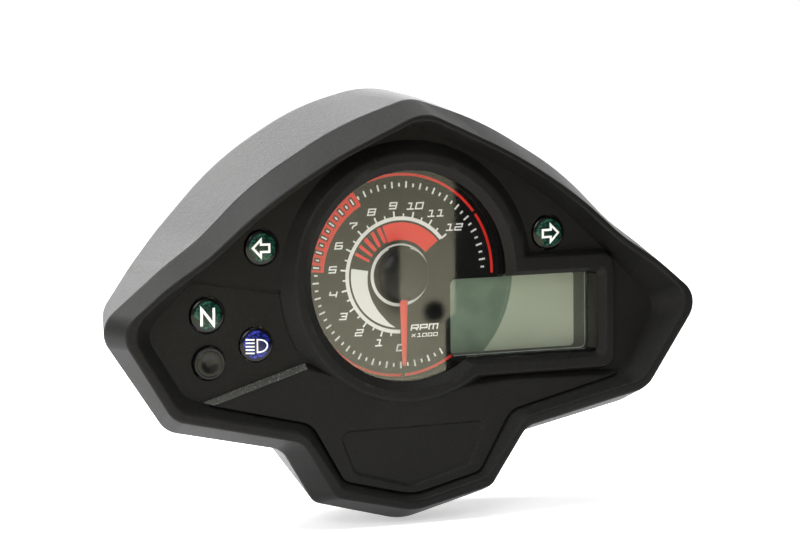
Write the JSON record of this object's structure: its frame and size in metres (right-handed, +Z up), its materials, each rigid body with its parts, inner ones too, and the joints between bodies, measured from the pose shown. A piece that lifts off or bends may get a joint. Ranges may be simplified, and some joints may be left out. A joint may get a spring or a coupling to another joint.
{
  "type": "motorcycle instrument cluster",
  "caption": "Wing-shaped hooded instrument cluster with a round needle dial, an oblong liquid crystal window, tell-tale lamps and a push button.",
  "frame": {"origin": "centre of the plane that the rear faces of the three mounting inserts lie in, on the case's middle plane at the height of the dial centre", "axes": "+X towards the rider's right, +Y forwards away from the rider, +Z up along the dial"},
  "size_m": [0.2206, 0.0712, 0.1486],
  "materials": {
    "case_plastic": "fine grain, moulded",
    "hood_plastic": "grained, moulded",
    "mask_plastic": "satin black",
    "clear_acrylic": "clear, polished",
    "dial_print": "screen printed, matt",
    "white_plastic": "plain",
    "circuit_board": "solder resist",
    "display_glass": "liquid crystal cell, unlit",
    "green_lens": "tinted, faceted inside",
    "blue_lens": "tinted, faceted inside",
    "smoke_plastic": "polished",
    "needle_red": "fluorescent red",
    "gloss_black": "polished",
    "black_rubber": "moulded",
    "zinc_steel": "zinc plated",
    "copper_wire": "enamelled winding",
    "acetal": "natural, moulded"
  },
  "bodies": {
    "case": {"front_bezel": "case_plastic", "rear_housing": "hood_plastic", "case_gasket": "black_rubber", "window_lens": "clear_acrylic", "harness_grommet": "black_rubber", "dial_mask": "mask_plastic", "dial_plate": "dial_print", "dial_light_guide": "clear_acrylic", "light_box": "white_plastic", "lcd_glass": "display_glass", "lcd_diffuser": "white_plastic", "lcd_holder": "white_plastic", "lcd_contact_upper": "black_rubber", "lcd_contact_lower": "black_rubber", "main_board": "circuit_board", "board_connector": "acetal", "dial_led_left": "white_plastic", "dial_led_right": "white_plastic", "display_led": "white_plastic", "left_turn_lens": "green_lens", "left_turn_led": "white_plastic", "right_turn_lens": "green_lens", "right_turn_led": "white_plastic", "neutral_lens": "green_lens", "neutral_led": "white_plastic", "high_beam_lens": "blue_lens", "high_beam_led": "white_plastic", "button_seal": "black_rubber", "switch_case": "gloss_black", "motor_stator": "zinc_steel", "motor_coil_left": "copper_wire", "motor_coil_right": "copper_wire", "motor_case": "gloss_black", "motor_cover": "gloss_black", "case_screw_top": "zinc_steel", "case_screw_upper_left": "zinc_steel", "case_screw_upper_right": "zinc_steel", "case_screw_wing_left": "zinc_steel", "case_screw_wing_right": "zinc_steel", "case_screw_lobe": "zinc_steel", "board_screw_top_left": "zinc_steel", "board_screw_top_right": "zinc_steel", "board_screw_bottom_left": "zinc_steel", "board_screw_bottom_right": "zinc_steel", "mount_insert_left": "zinc_steel", "mount_insert_right": "zinc_steel", "mount_insert_lower": "zinc_steel", "mount_damper_left": "black_rubber", "mount_damper_right": "black_rubber", "mount_damper_lower": "black_rubber"},
    "pointer": {"needle": "needle_red", "needle_hub_cap": "gloss_black", "motor_output_wheel": "acetal"},
    "idler": {"motor_idler_gear": "acetal"},
    "rotor": {"motor_rotor": "zinc_steel"},
    "button": {"button_cap": "smoke_plastic", "switch_plunger": "gloss_black"}
  },
  "joints": [
    {"name": "needle_sweep", "type": "hinge", "parent": "case", "child": "pointer", "pos_m": [0, -0.0485, 0], "axis": [0, 1, 0], "range_deg": [0, 232.8]},
    {"name": "idler_spin", "type": "hinge", "parent": "case", "child": "idler", "pos_m": [0.00708, -0.0324, -0.00906], "axis": [0, 1, 0], "range_deg": [-838.08, 0]},
    {"name": "rotor_spin", "type": "hinge", "parent": "case", "child": "rotor", "pos_m": [0, -0.0324, -0.01377], "axis": [0, 1, 0], "range_deg": [0, 2011.39]},
    {"name": "button_press", "type": "slide", "parent": "case", "child": "button", "axis": [0, 1, 0], "range_m": [0, 0.0012], "stiffness_N_per_m": 1200, "springref_m": -0.0005}
  ],
  "couplings": [
    {"joint": "idler_spin", "follows": "needle_sweep", "ratio": -3.6},
    {"joint": "rotor_spin", "follows": "needle_sweep", "ratio": 8.64}
  ]
}
